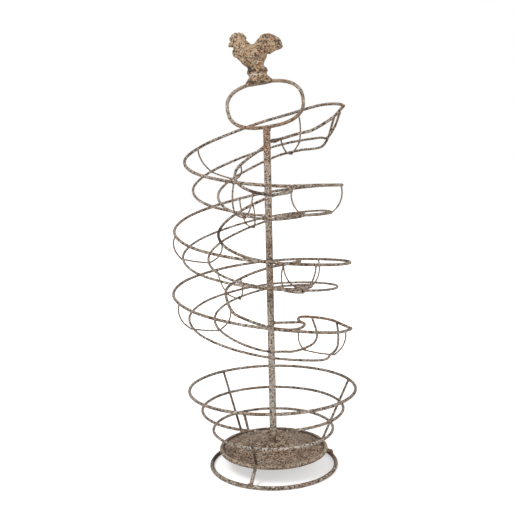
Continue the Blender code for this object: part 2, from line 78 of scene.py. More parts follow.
forward = np.array([math.sin(YAW) * math.cos(PITCH), math.cos(YAW) * math.cos(PITCH), -math.sin(PITCH)])
level = np.array([math.cos(YAW), -math.sin(YAW), 0])
above = np.cross(level, forward)
to_right = level * math.cos(ROLL) + above * math.sin(ROLL)
to_top = above * math.cos(ROLL) - level * math.sin(ROLL)
lens = bpy.data.cameras.new("camera")
lens.sensor_width = SENSOR
lens.lens = FOCAL_PIXELS / FRAME_PIXELS * SENSOR
lens.clip_start = NEAREST_SEEN
camera = shown("camera", lens)
stand(camera, to_right, to_top, -forward, CAMERA_PLACE)
bpy.context.scene.camera = camera
bpy.context.scene.view_settings.view_transform = "Standard"

# Worktop and light
# The rack stands on a matt white worktop that runs out into a white surround, under a large
# soft lamp from the upper left, a weaker one from the right and even light all round.
WORKTOP_REACH = 6.0
WHITE_FROM, WHITE_BY = .22, .62  # over these distances the worktop turns into the surround
SURROUND_LIGHT = .50
WORKTOP_TONE, WORKTOP_GLOW = .80, .50
WHITE = (1, 1, 1, 1)
LIGHT_AIM = (0, 0, .25)
# Each lamp's place, width in metres and power in watts.
LAMPS = {"key_lamp": ((-.8, -.9, 1.7), .8, 21), "fill_lamp": ((1.3, -.9, .8), 1.2, 7)}


def node(tree, kind, sockets=(), **settings):
    """A new node of a tree, with its settings, and a value or another node's output on each of
    the given sockets; gives the node's outputs."""
    made = tree.nodes.new("ShaderNode" + kind)
    for name, value in settings.items():
        setattr(made, name, value)
    for name, value in dict(sockets).items():
        if isinstance(value, bpy.types.NodeSocket):
            tree.links.new(value, made.inputs[name])
        else:
            made.inputs[name].default_value = value
    return made.outputs


def emptied(block):
    """The emptied node tree of a new world or material."""
    block.use_nodes = True
    block.node_tree.nodes.clear()
    return block.node_tree


def looking(tree):
    """One where the camera looks, straight, in a reflection or through glass; nought elsewhere."""
    path = node(tree, "LightPath")
    total = path["Is Camera Ray"]
    for name in ("Is Glossy Ray", "Is Transmission Ray"):
        total = node(tree, "Math", {0: total, 1: path[name]}, operation="MAXIMUM")[0]
    return total


def white_surround():
    """World that is pure white to the camera and to reflections, and lights at a plain level."""
    world = bpy.data.worlds.new("surround")
    tree = emptied(world)
    seen = node(tree, "Background", {"Color": WHITE, "Strength": 1})
    lit = node(tree, "Background", {"Color": WHITE, "Strength": SURROUND_LIGHT})
    both = node(tree, "MixShader", {0: looking(tree), 1: lit[0], 2: seen[0]})
    node(tree, "OutputWorld", {"Surface": both[0]})
    bpy.context.scene.world = world


def worktop_white():
    """Matt white near the rack, with a little glow where it is looked at, so that
    only the rack's shadow is less than white; further out it turns into the surround."""
    material = bpy.data.materials.new("worktop")
    tree = emptied(material)
    matt = node(tree, "BsdfDiffuse", {"Color": (*(WORKTOP_TONE,) * 3, 1)})
    far = node(tree, "VectorMath", {0: node(tree, "TexCoord")["Object"]}, operation="LENGTH")
    share = node(tree, "MapRange", {"Value": far["Value"], "From Min": WHITE_FROM, "From Max": WHITE_BY,
                                    "To Min": WORKTOP_GLOW}, interpolation_type="SMOOTHSTEP")
    strength = node(tree, "Math", {0: share["Result"], 1: looking(tree)}, operation="MULTIPLY")
    glow = node(tree, "Emission", {"Strength": strength[0]})
    total = node(tree, "AddShader", {0: matt[0], 1: glow[0]})
    node(tree, "OutputMaterial", {"Surface": total[0]})
    return material


def soft_lamp(name, place, size, power):
    """A round lamp, size metres wide, that faces the middle of the rack."""
    lamp = bpy.data.lights.new(name, "AREA")
    lamp.shape = "DISK"
    lamp.size = size
    lamp.energy = power
    away = unit(np.array(place) - LIGHT_AIM)
    side = unit(np.cross((0, 0, 1), away))
    stand(shown(name, lamp), side, np.cross(away, side), away, place)


white_surround()
corners = [(x * WORKTOP_REACH, y * WORKTOP_REACH, 0) for x, y in ((-1, -1), (1, -1), (1, 1), (-1, 1))]
sheet = bpy.data.meshes.new("worktop")
sheet.from_pydata(corners, [], [(0, 1, 2, 3)])
sheet.materials.append(worktop_white())
worktop = shown("worktop", sheet)
for name, lamp in LAMPS.items():
    soft_lamp(name, *lamp)

# Foot ring
# A thick round iron wire, about 5 mm, bent to a circle and butt-welded; it lies flat on the
# worktop. Like all of the rack it has a worn grey-beige coat over brown, rusting iron.
FOOT_RING_RADIUS, FOOT_WIRE = .077, .005
FULL_TURN = 2 * math.pi
COAT = (.405, .340, .280)
RUST = (.340, .155, .062)
STAIN = (.150, .098, .062)
DARK = (.052, .032, .021)
PALE = (.680, .610, .520)
MIX_PRIMES, SEED_PRIME, LAST_MIX = (73856093, 19349663, 83492791), 26544357, 1274126177
# Worn skin: size and height of the lumps and of the flakes, and size, depth and limit of the pits.
WORN_SKIN = ((.0031, .00003), (.0012, .00004), (.0008, .00016, .35))
SOUND_SHARE = .985  # the sound surface's radius over the wire's
DOME_DEGREES = (82, 62, 40, 20)  # rows of points on a domed end
# Worn coat: noise scale, where it is fixed, detail and roughness of each kind of spot, the noise
# value less the coat's own share where it sets in, and over how much it comes to its full.
TONE_SPOTS, TONE_SHADE = (38, 2, .5, .35, .30), .78
RUST_SPOTS, STAIN_SPOTS = (5, .62, 1.02, .20), (95, 4, .6, .94, .16, .75)
SPECK_SCALE, SPECK_SPOTS = 300, (4, .72, .94, .09)
FLECK_SCALE, FLECK_SPOTS = 390, (3, .65, .97, .08)
DARK_FROM, DARK_BY = -.00002, -.00010  # pits of this depth turn dark, and painted shade of the same amount
METAL_SHARE, GLOSS = .12, .35
SMOOTHEST, ROUGHEST, FLECK_HEIGHT = .62, .88, .0004


def grain(places, size, seed):
    """Random numbers from -1 to 1 at the corners of cubes of that size, blended between them
    by a weight of three squares less two cubes of the share along each edge."""
    cell = np.asarray(places) / size
    base = np.floor(cell).astype(np.int64)
    t = cell - base
    t = t * t * (3 - 2 * t)
    total = 0
    for corner in np.ndindex(2, 2, 2):
        x, y, z = np.moveaxis((base + corner) * MIX_PRIMES, -1, 0)
        mixed = x ^ y ^ z ^ seed * SEED_PRIME
        mixed = (mixed ^ mixed >> 13) * LAST_MIX
        value = (mixed >> 8 & 0xFFFF) / (0xFFFF / 2) - 1
        total = total + value * np.prod(np.where(corner, t, 1 - t), axis=-1)
    return total


def worn(places, seed, table=WORN_SKIN):
    """How far the worn surface stands from the sound one, in metres: the sum over the table of
    the grain, or where there is a limit only of what falls below it, times the height."""
    total = 0
    for number, (size, height, *limit) in enumerate(table, seed):
        value = grain(places, size, number)
        total = total + (np.minimum(0, value + limit[0]) if limit else value) * height
    return total


def evenly(path, step):
    """The same line with points a fixed distance apart along it."""
    run = np.linalg.norm(np.diff(path, axis=0), axis=1)
    far = np.concatenate([[0], np.cumsum(run)])
    count = max(2, round(far[-1] / step))
    goals = np.linspace(0, far[-1], count + 1)
    return np.stack([np.interp(goals, far, path[:, k]) for k in range(3)], axis=1)


def wire_skin(path, diameter, square, seed, sides=12, closed=False, step=.0007):
    """A round section carried along a line: each point lies off it by the radius times the
    cosine of an angle to the side, square to the line and to a fixed direction, and its sine
    upwards. At an open end the radius shrinks as a cosine while the place moves on by its sine."""
    line = evenly(np.asarray(path, float), step)
    radius = diameter / 2 * SOUND_SHARE
    if closed:
        line = line[:-1]
        along = unit(np.roll(line, -1, 0) - np.roll(line, 1, 0))
        shrink = np.ones(len(line))
    else:
        along = unit(np.gradient(line, axis=0))
        dome = np.radians(DOME_DEGREES)
        first = line[0] - along[0] * (radius * np.sin(dome))[:, None]
        last = line[-1] + along[-1] * (radius * np.sin(dome[::-1]))[:, None]
        line = np.concatenate([first, line, last])
        shrink = np.concatenate([np.cos(dome), np.ones(len(along)), np.cos(dome[::-1])])
        ends = [np.repeat(end, len(dome), 0) for end in (along[:1], along[-1:])]
        along = np.concatenate([ends[0], along, ends[1]])
    side = unit(np.cross(along, square))
    up = np.cross(side, along)
    v = np.arange(sides) / sides * FULL_TURN
    out = side[:, None] * np.cos(v)[:, None] + up[:, None] * np.sin(v)[:, None]
    skin = line[:, None] + out * (radius * shrink)[:, None, None]
    relief = worn(skin, seed) * shrink[:, None]
    return skin + out * relief[..., None], relief


def sunk(mesh, relief):
    """Keep the relief of a mesh's points as the attribute hollow, and shade the mesh smooth."""
    layer = mesh.attributes.new("hollow", "FLOAT", "POINT")
    layer.data.foreach_set("value", relief.astype(np.float32))
    mesh.shade_smooth()


def rows_of(mesh, kind):
    """The places (co) or normals of a mesh's points, one to a row."""
    values = np.empty(len(mesh.vertices) * 3, np.float32)
    mesh.vertices.foreach_get(kind, values)
    return values.reshape(-1, 3)


def skin_mesh(name, skins, closed=False):
    """One mesh from grids of points that close round their second direction. Open grids get a
    pole point at each end, the mean of its row."""
    places, reliefs, faces, before = [], [], [], 0
    for skin, relief in skins:
        rows, sides = skin.shape[:2]
        here = np.arange(rows * sides).reshape(rows, sides) + before
        below = np.roll(here, -1, 0) if closed else here[1:]
        start = here if closed else here[:-1]
        quads = np.stack([start, np.roll(start, -1, 1), np.roll(below, -1, 1), below], axis=-1)
        faces += quads.reshape(-1, 4).tolist()
        places.append(skin.reshape(-1, 3))
        reliefs.append(relief.ravel())
        before += rows * sides
        if not closed:
            for row, turn in ((0, 1), (-1, -1)):
                edge = [np.roll(here[row], -1), here[row]][::turn]
                faces += np.stack([*edge, np.full(sides, before)], axis=-1).tolist()
                places.append(skin[row].mean(0)[None])
                reliefs.append(relief[row].mean()[None])
                before += 1
    mesh = bpy.data.meshes.new(name)
    mesh.from_pydata(np.concatenate(places).tolist(), [], faces)
    sunk(mesh, np.concatenate(reliefs))
    return mesh


def stained_and_shaded(mesh, name, spots):
    """Raise or start an attribute of the mesh round some places: each adds its amount times
    the bell curve of the distance over its reach. A place of two numbers, radius and height,
    is a level circle round the pole."""
    places = rows_of(mesh, "co")
    values = np.zeros(len(places), np.float32)
    layer = mesh.attributes.get(name)
    if layer:
        layer.data.foreach_get("value", values)
    else:
        layer = mesh.attributes.new(name, "FLOAT", "POINT")
    section = np.stack([np.hypot(*(places - AXIS)[:, :2].T), places[:, 2]], axis=1)
    for place, reach, amount in spots:
        near = section if len(place) == 2 else places
        far = np.linalg.norm((near - np.asarray(place)) / np.asarray(reach), axis=1)
        values += (amount * np.exp(-far ** 2)).astype(np.float32)
    layer.data.foreach_set("value", values)


def weathered(name, shares, coat=COAT, patch=75, bump=.35, stain=STAIN, pale=PALE, fine=1.0):
    """Worn coat on iron, in Object coordinates: rust and brown stains in patches of about a
    centimetre, dark specks and pale flecks of one to three millimetres, dark in the pits of the
    mesh and in the painted shade that the mesh's dark attribute also holds; the attributes rusty
    and paler add to the rust and to the pale coat, and the pale one also holds painted highlights.
    The shares are those of rust, dark and pale. Fine shrinks the specks and flecks."""
    material = bpy.data.materials.new(name)
    tree = emptied(material)
    place = node(tree, "TexCoord")["Object"]

    def spots(own_share, scale, detail, roughness, start, width, strength=1):
        """Noise, as a smooth step from nought at the start to the strength at the width past it."""
        noise = node(tree, "TexNoise", {"Vector": place, "Scale": scale, "Detail": detail,
                                        "Roughness": roughness})
        start -= own_share
        return node(tree, "MapRange", {"Value": noise["Fac"], "From Min": start, "From Max": start + width,
                                       "To Max": strength}, interpolation_type="SMOOTHSTEP")["Result"]

    def given(attribute):
        """The number that the mesh has under that name."""
        return node(tree, "Attribute", attribute_name=attribute)["Fac"]

    def plus(share, attribute):
        """A share and such a number together, at most one."""
        return node(tree, "Math", {0: share, 1: given(attribute)}, use_clamp=True)[0]

    rust_share, dark_share, pale_share = shares
    brown = tuple((c + r) / 2 * TONE_SHADE for c, r in zip(coat, RUST))
    tone = spots(0, *TONE_SPOTS)
    rusted = spots(rust_share, patch, *RUST_SPOTS)
    stains = spots(dark_share, *STAIN_SPOTS)
    specks = spots(dark_share, SPECK_SCALE * fine, *SPECK_SPOTS)
    flecks = spots(pale_share, FLECK_SCALE * fine, *FLECK_SPOTS)
    # Dark in the pits, and in the painted shade laid onto the same attribute.
    deep = node(tree, "MapRange", {"Value": given("hollow"), "From Min": DARK_FROM, "From Max": DARK_BY})
    colour = (*coat, 1)
    for over, share in ((brown, tone), (RUST, plus(rusted, "rusty")), (stain, stains),
                        (pale, plus(flecks, "paler")), (DARK, specks), (DARK, deep["Result"])):
        layers = {"Factor": share, "A": colour, "B": (*over, 1)}
        colour = node(tree, "Mix", layers, data_type="RGBA")["Result"]
    rough = node(tree, "MapRange", {"Value": specks, "To Min": SMOOTHEST, "To Max": ROUGHEST})
    lump = node(tree, "Bump", {"Height": flecks, "Strength": bump, "Distance": FLECK_HEIGHT})
    surface = {"Base Color": colour, "Metallic": METAL_SHARE, "Roughness": rough["Result"],
               "Specular IOR Level": GLOSS, "Normal": lump["Normal"]}
    node(tree, "OutputMaterial", {"Surface": node(tree, "BsdfPrincipled", surface)[0]})
    return material


def put(name, shape, material, slot, *nodes, closed=False, **stains):
    """Place a mesh, or one of the given skins, on the rack with its stains, painted shade and
    painted highlights; it stands for the named nodes of the frame."""
    mesh = skin_mesh(name, shape, closed) if isinstance(shape, list) else shape
    for attribute, spots in stains.items():
        stained_and_shaded(mesh, attribute, spots)
    mesh.materials.append(material)
    piece = shown(name, mesh)
    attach(piece, "root")
    if nodes:
        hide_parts(*nodes)


def circle(radius, height, wobble=.0002):
    """A closed level circle round the pole: the radius changes by the wobble times the sine of
    three turns and the cosine of five, from a start that differs with the radius."""
    turn = np.linspace(0, FULL_TURN, 361)
    r = radius - wobble + wobble * np.sin(3 * turn + radius * 90) * np.cos(5 * turn)
    return AXIS + np.stack([r * np.cos(turn), r * np.sin(turn), np.full(len(turn), height)], axis=1)


UPRIGHT = (0, 0, 1)
FOOT_WOBBLE = .0001
# Dark and rusty stretches of the ring: place, reach and amount. The two dark stretches at the back are
# partly dark iron and partly painted shade from the tray above.
FOOT_DARK_AND_SHADE = ((AXIS + (-.072, .024, 0), .024, -.00014), (AXIS + (.066, .036, 0), .014, -.00014))
FOOT_RUSTY = ((AXIS + (.075, .012, 0), .016, .7),)

wire_coat = weathered("worn_wire_coat", (.47, .46, .44), patch=130, fine=1.4)
foot = wire_skin(circle(FOOT_RING_RADIUS, FOOT_WIRE / 2, FOOT_WOBBLE), FOOT_WIRE, UPRIGHT, 11, 16, True)
put("foot_ring_wire", [foot], wire_coat, "worn_wire", "foot_ring", closed=True, hollow=FOOT_DARK_AND_SHADE,
    rusty=FOOT_RUSTY)

# Legs
# Three short wires of 4.4 mm lean inwards from the foot ring to the tray's flange, each
# held by a small weld at both ends.
LEG_WIRE, LEG_DEGREES = .0044, (19, 129, 249)
LEG_HEAD_RADIUS, TRAY_LEVEL = .0592, .0215
LEG_FOOT_HEIGHT, LEG_HEAD_HEIGHT = FOOT_WIRE * .8, TRAY_LEVEL + .0003
# Weld beads: half length and half width; the first leg's lower bead is larger.
LEG_LOW_WELD, LEG_HIGH_WELD, FIRST_WELD_SHARE = (.0034, .0028), (.0030, .0026), 1.35
LEG_WELD_RISE, LEG_WELD_DROP, LEG_WELD_FLATNESS = .0004, .0006, .6
BEAD_GRAIN, BEAD_ROUGHNESS = .0013, .2
ACROSS_ALL = (.31, .27, .91)  # a direction that no bead has


def around(radius, degrees, height):
    """A place off the pole: the radius times cosine and sine of the turn, at a height."""
    turn = math.radians(degrees)
    return AXIS + (radius * math.cos(turn), radius * math.sin(turn), height)


def straight(start, end):
    """Evenly spaced points from start to end."""
    return np.linspace(start, end, 30)


def bead(place, along, long, wide, seed, squash=1.0):
    """A weld bead: an ellipsoid, longest in one direction, whose radius varies by a fifth with
    the grain. Its poles lie on that direction."""
    along = unit(np.asarray(along, float))
    side = unit(np.cross(along, ACROSS_ALL))
    up = np.cross(side, along)
    u = np.linspace(0, math.pi, 11)[1:-1, None, None]
    v = np.arange(10)[None, :, None] / 10 * FULL_TURN
    ray = along * np.cos(u) * long + (side * np.cos(v) + up * np.sin(v) * squash) * np.sin(u) * wide
    skin = place + ray * (1 + BEAD_ROUGHNESS * grain(place + ray, BEAD_GRAIN, seed)[..., None])
    return skin[::-1], worn(skin, seed)[::-1]


weld_coat = weathered("weld_coat", (.46, .44, .34), (.27, .19, .13), fine=1.4)
leg_welds = []
for number, degrees in enumerate(LEG_DEGREES, 1):
    low = around(FOOT_RING_RADIUS, degrees, LEG_FOOT_HEIGHT)
    high = around(LEG_HEAD_RADIUS, degrees, LEG_HEAD_HEIGHT)
    skin = wire_skin(straight(low, high), LEG_WIRE, (1, 0, 0), 20 + number)
    put(f"leg_wire_{number}", [skin], wire_coat, "worn_wire", f"leg_{number}")
    long, wide = np.array(LEG_LOW_WELD) * (FIRST_WELD_SHARE if number == 1 else 1)
    below, above = low + (0, 0, LEG_WELD_RISE), high - (0, 0, LEG_WELD_DROP)
    leg_welds.append(bead(below, np.cross(high - low, low - AXIS), long, wide, 30 + number))
    leg_welds.append(bead(above, (1, 0, 0), *LEG_HIGH_WELD, 40 + number, LEG_WELD_FLATNESS))
put("leg_welds", leg_welds, weld_coat, "worn_wire")

# Tray
# A disc of thin iron sheet, pressed to a low dome whose crown carries the pole; its edge is
# rolled to a bead 5 mm thick. The coat on it is finely speckled and browner than on the wires.
TRAY_RADIUS, TRAY_SHEET, TRAY_BEAD = .067, .0012, .005
DOME_RADIUS, DOME_RISE, CROWN_SHARE = .058, .0155, .012
TRAY_STEP, TRAY_SIDES = .0008, 420
# Darker in the crease inside the rolled edge and along a thin line running forward from the pole's foot;
# painted shade below the edge and a patch of painted shadow left of and in front of the pole;
# painted highlights on top of the edge and on the front of the flange.
CREASE = (TRAY_RADIUS - TRAY_BEAD, TRAY_LEVEL + TRAY_SHEET)
EDGE_TOP = (TRAY_RADIUS - TRAY_BEAD * .35, TRAY_LEVEL + TRAY_BEAD * .6)
EDGE_BELOW = (TRAY_RADIUS - TRAY_BEAD * .2, TRAY_LEVEL - TRAY_BEAD * .3)
TRAY_DARK_AND_SHADE = ((CREASE, .0014, -.00013), (EDGE_BELOW, .0016, -.00006),
             (AXIS + (-.013, -.014, TRAY_LEVEL + .012), (.034, .014, .02), -.00004),
             (AXIS + (.002, -.011, TRAY_LEVEL + .015), (.0009, .010, .01), -.00012))
TRAY_HIGHLIGHTS = ((EDGE_TOP, .0019, .6), (AXIS + (0, -.052, TRAY_LEVEL + .003), (.05, .011, .01), .22))


def tray_profile():
    """Half section as radius and height: over the dome, half the height times one plus cosine
    of the share of its radius, over the flange, round the rolled edge and back below."""
    share = np.linspace(CROWN_SHARE, 1, 66)
    rise = DOME_RISE * (1 + np.cos(math.pi * share)) / 2
    under = np.stack([DOME_RADIUS * share, TRAY_LEVEL + rise], axis=1)
    half = TRAY_BEAD / 2
    start = math.pi - math.asin(TRAY_SHEET / TRAY_BEAD)
    turn = np.linspace(start, -start, 40)
    edge = np.stack([TRAY_RADIUS - half + half * np.cos(turn),
                     TRAY_LEVEL + TRAY_SHEET / 2 + half * np.sin(turn)], axis=1)
    return np.concatenate([under + (0, TRAY_SHEET), edge, under[::-1]])


def turned_skin(profile, seed, sides):
    """A profile turned round the pole: radius times cosine and sine of the angle, moved along
    the profile's own normal by the worn relief."""
    v = np.arange(sides) / sides * FULL_TURN
    run = unit(np.gradient(profile, axis=0))
    normal = np.stack([-run[:, 1], run[:, 0]], axis=1)
    spokes = np.stack([np.cos(v), np.sin(v), np.zeros(sides)], axis=1)
    skin = AXIS + profile[:, None, :1] * spokes + profile[:, None, 1:] * UPRIGHT
    out = normal[:, None, :1] * spokes + normal[:, None, 1:] * UPRIGHT
    relief = worn(skin, seed)
    return (skin + out * relief[..., None])[:, ::-1], relief[:, ::-1]


fine_profile = evenly(np.pad(tray_profile(), ((0, 0), (0, 1))), TRAY_STEP)[:, :2]
tray_coat = weathered("tray_coat", (.36, .465, .42), (.430, .325, .240), patch=120,
                      pale=(.600, .490, .370), fine=1.5)
put("tray_sheet", [turned_skin(fine_profile, 50, TRAY_SIDES)], tray_coat, "tray_sheet", "tray",
    hollow=TRAY_DARK_AND_SHADE, paler=TRAY_HIGHLIGHTS)

# Basket
# A rim of 3.8 mm wire and two rings of 3.4 mm wire, spot-welded inside three straight uprights
# of 3 mm wire that flare out from the tray's lip.
RIM_RADIUS, RIM_HEIGHT, RIM_WIRE = .102, .0985, .0038
RING_WIRE, UPRIGHT_WIRE = .0034, .003
RINGS = {"basket_middle_ring": .0733, "basket_lower_ring": .0476}
UPRIGHT_DEGREES = (18, 129, 252)
UPRIGHT_FOOT, UPRIGHT_FOOT_HEIGHT = .0660, .0246
RIM_WELD, UPRIGHT_WELD, RING_WELD = (.0023, .0019), (.0020, .0022), (.0026, .0014)
# The lower ring's front has a painted highlight on top, with its dark pits lifted there too; the uprights
# behind have painted shade at both ends.
FRONT_DEGREES, HIGHLIGHT_RISE = 270, .002
FRONT_HIGHLIGHT, FRONT_HIGHLIGHT_UNPITTED = ((.065, .04, .0028), 1.1), ((.065, .04, .0030), .00012)
SHADE_LOW, SHADE_HIGH = ((.02, .02, .035), -.00012), (.03, -.00004)

rim = wire_skin(circle(RIM_RADIUS, RIM_HEIGHT), RIM_WIRE, UPRIGHT, 60, 12, True)
put("basket_rim_wire", [rim], wire_coat, "worn_wire", "basket_rim", closed=True)
head_height = RIM_HEIGHT - RIM_WIRE / 2
flare = (RIM_RADIUS - UPRIGHT_FOOT) / (head_height - UPRIGHT_FOOT_HEIGHT)
inward = (UPRIGHT_WIRE / 2 + RING_WIRE / 2) * math.hypot(1, flare)
basket_welds = []
for number, degrees in enumerate(UPRIGHT_DEGREES, 1):
    low = around(UPRIGHT_FOOT, degrees, UPRIGHT_FOOT_HEIGHT)
    high = around(RIM_RADIUS, degrees, head_height)
    basket_welds.append(bead(high, UPRIGHT, *RIM_WELD, degrees))
    basket_welds.append(bead(low, UPRIGHT, *UPRIGHT_WELD, degrees + 1))
    skin = wire_skin(straight(low, high), UPRIGHT_WIRE, (0, 1, 0) if number == 1 else (1, 0, 0), 70 + number)
    # Painted shade at both ends of the second and third uprights.
    ends = ((low, *SHADE_LOW), (high, *SHADE_HIGH)) if number > 1 else ()
    put(f"basket_upright_wire_{number}", [skin], wire_coat, "worn_wire", f"basket_upright_{number}",
        hollow=ends)
for name, height in RINGS.items():
    radius = UPRIGHT_FOOT + flare * (height - UPRIGHT_FOOT_HEIGHT) - inward
    ring = wire_skin(circle(radius, height), RING_WIRE, UPRIGHT, round(height * 1000), 12, True)
    stains = {}
    if name == "basket_lower_ring":
        front = around(radius, FRONT_DEGREES, height + HIGHLIGHT_RISE)
        # A painted highlight on top of the ring's front, where its pits are also kept from turning dark.
        stains = {"paler": [(front, *FRONT_HIGHLIGHT)], "hollow": [(front, *FRONT_HIGHLIGHT_UNPITTED)]}
    put(name + "_wire", [ring], wire_coat, "worn_wire", name, closed=True, **stains)
    for degrees in UPRIGHT_DEGREES:
        touch = around(radius + RING_WIRE / 2, degrees, height)
        basket_welds.append(bead(touch, np.cross(UPRIGHT, touch - AXIS), *RING_WELD, degrees + 2))
put("basket_welds", basket_welds, weld_coat, "worn_wire")

# Pole
# A straight 9 mm iron rod from the tray's crown to the handle, welded round its foot; it is
# the most speckled piece, rusty at the top and darker in its middle.
POLE_DIAMETER, POLE_FOOT, POLE_TOP = .0088, .0384, .4125
POLE_SHORT = (.002, .003)  # the straight part stops this far short of the rod's ends
COLLAR_BEADS, COLLAR_STEP, COLLAR_RADIUS, COLLAR_WELD, COLLAR_DROP = 14, .449, .0046, (.0014, .0012), .0002


def band(height, reach, amount):
    """A stain all round the pole at a height: level reaches of a metre leave only its height."""
    return AXIS + (0, 0, height), (1, 1, reach), amount


pole_coat = weathered("pole_coat", (.46, .452, .46), (.430, .340, .255), fine=1.6)
pole_line = straight(AXIS + (0, 0, POLE_FOOT + POLE_SHORT[0]), AXIS + (0, 0, POLE_TOP - POLE_SHORT[1]))
skin = wire_skin(pole_line, POLE_DIAMETER, (1, 0, 0), 80, 28)
put("pole_rod", [skin], pole_coat, "pole_rod", "centre_pole",
    rusty=((AXIS + (0, 0, .398), .026, 1), band(.268, .014, .3)),
    hollow=(band(.268, .012, -.00003), band(.209, .008, -.00005)),
    paler=(band(.340, .035, .35), band(.125, .045, .6), band(.070, .030, .5)))
collar = []
for number in range(COLLAR_BEADS):
    place = around(COLLAR_RADIUS, 360 / COLLAR_BEADS * number, POLE_FOOT - COLLAR_DROP)
    turn = number * COLLAR_STEP
    collar.append(bead(place, (-math.sin(turn), math.cos(turn), 0), *COLLAR_WELD, 90 + number))
put("pole_foot_weld", collar, weld_coat, "pole_rod")

# Chute rails
# Four long wires wind three times round the pole as a trough: two guide rails of 3.6 mm hold
# the egg's ends and two floor rails of 3 mm carry it. Their ends are welded together.
CHUTE_TOP, CHUTE_DROP, CHUTE_RADIUS = .426, .255, .087
GUIDE_GAP, FLOOR_GAP, CHUTE_DEPTH = .060, .0305, .0295
GUIDE_WIRE, FLOOR_WIRE = .0036, .003
TOP_REACH, END_REACH = .0914, .0978
WELD_HEIGHT, WELD_DEGREES = .399, 50
OUTER_SPAN, INNER_SPAN, OUTER_FLOOR_SPAN, INNER_FLOOR_SPAN = (64, 1030), (120, 895), (35, 990), (35, 980)
STATION_DEGREES, RAIL_STEPS = 30, 36
POLE_WELD, POLE_WELD_SHARES = (.0042, .0022), (.82, .82, 1)
BOW_WELD, BOW_WELD_PLACE, BOW_WELD_ALONG = (.0058, .0024), (.0098, .0046, .3996), (1, -.1, .2)
END_WELD_SHARES = (.64, .55)
# Every eighth turn: the middle line's fall over CHUTE_DROP. Every quarter turn: its radius over
# CHUTE_RADIUS, how the trough is banked, and its depth over CHUTE_DEPTH. Every half turn: the
# guide gap, and how far out the floor is shifted, over GUIDE_GAP.
FALL_SHARES = (0, .011, .053, .117, .205, .282, .325, .325, .3275, .333, .365, .438, .519,
               .59, .635, .66, .675, .6965, .72, .7615, .81, .8615, .91, .959, 1.0)
RADIUS_SHARES = (.67, .44, .77, .86, .66, .89, 1.0, .91, .765, .87, .985, .92, .85)
BANK_DEGREES = (28, 29, 16, 11, 5, 5, 8, 7, -2, 1, 4, 4, 2)
DEPTH_SHARES = (1.12, 1.06, 1.03, 1.02, 1.01, 1.05, 1.02, .98, 1.0, .98, 1.02, 1.17, 1.25)
GAP_SHARES = (1.0, 1.02, 1.0, .88, 1.0, 1.04, 1.0)
FLOOR_SHIFT_SHARES = (0, -.033, -.02, -.04, 0, -.07, 0)
# The mouths: x, y and height over the mouth's reach from the pole.
TOP_TIP = (1.0, 0, .43)
UPPER_BOW = ((.93, -.04, .355), (.84, -.055, .27), (.595, -.065, .13), (.40, -.02, .085), (.17, .045, .025))
UPPER_OUTER = ((.945, .08, .458), (.86, .23, .475), (.75, .41, .481), (.625, .515, .462), (.53, .57, .44),
               (.435, .62, .418))
OUTER_FLOOR_TOP = ((.95, .04, .34), (.91, .075, .22), (.875, .13, .14), (.80, .27, .035))
INNER_FLOOR_TOP = ((.865, -.04, .27), (.82, 0, .10), (.795, .02, .03), (.765, .045, -.03),
                   (.72, .075, -.08), (.665, .12, -.10), (.57, .2, -.11))
END_TIP = (1.0, -.02, 0)
LOWER_OUTER = ((.92, -.39, .062),)
LOWER_BOW = ((-.465, -.39, .325), (-.30, -.49, .24), (-.07, -.55, .165), (.12, -.51, .115),
             (.26, -.385, .08), (.37, -.25, .075), (.415, -.10, .085), (.36, .06, .09),
             (.35, .18, .095), (.38, .34, .085),
             (.47, .41, .075), (.63, .37, .065), (.785, .245, .055), (.915, .10, .02))
OUTER_FLOOR_END = ((.55, -.79, -.195), (.69, -.62, -.172), (.775, -.43, -.15),
                   (.82, -.18, -.12), (.84, .04, -.06), (.84, .22, .05))
INNER_FLOOR_END = ((.155, -.59, -.135), (.27, -.54, -.145), (.39, -.425, -.14),
                   (.505, -.265, -.125), (.565, -.08, -.09), (.57, .08, -.04),
                   (.555, .255, .015), (.53, .43, .08))


def between(values, place):
    """Value between a table's stations: on each stretch the cubic through both its ends whose
    slope at an end is half the step between that end's two neighbours."""
    table = np.asarray(values, float)
    last = len(table) - 1
    k = np.clip(np.floor(place).astype(int), 0, last - 1)
    t = place - k
    if table.ndim > 1:
        t = t[:, None]
    a, b, c, d = (table[np.clip(k + j, 0, last)] for j in (-1, 0, 1, 2))
    return b + t / 2 * (c - a + t * (2 * a - 5 * b + 4 * c - d + t * (3 * (b - c) + d - a)))


def faired(steps, *stretches):
    """Many points, so many a step, on the smooth curve through the few of all stretches."""
    points = np.concatenate(stretches)
    return between(points, np.arange((len(points) - 1) * steps + 1) / steps)


def trough_point(degrees, across, depth):
    """A place in the banked trough: out from the pole by the middle line's radius, then across
    outward and depth downward, both turned by the bank."""
    degrees = np.asarray(degrees, float)
    radius = CHUTE_RADIUS * between(RADIUS_SHARES, degrees / 90)
    height = CHUTE_TOP - CHUTE_DROP * between(FALL_SHARES, degrees / 45)
    bank = np.radians(between(BANK_DEGREES, degrees / 90))
    out = radius + across * np.cos(bank) + depth * np.sin(bank)
    up = height + across * np.sin(bank) - depth * np.cos(bank)
    turn = np.radians(degrees)
    return np.stack([out * np.cos(turn), out * np.sin(turn), up], axis=-1)


def guide(degrees, side):
    """A place on the outer (1) or inner (-1) guide rail: half the gap off the middle line."""
    half = GUIDE_GAP / 2 * between(GAP_SHARES, np.asarray(degrees) / 180)
    return trough_point(degrees, side * half, 0)


def floor(degrees, side):
    """A place on a floor rail: half the floor gap off the shifted middle, at the trough's depth."""
    depth = CHUTE_DEPTH * between(DEPTH_SHARES, np.asarray(degrees) / 90)
    shift = GUIDE_GAP * between(FLOOR_SHIFT_SHARES, np.asarray(degrees) / 180)
    return trough_point(degrees, shift + side * FLOOR_GAP / 2, depth)


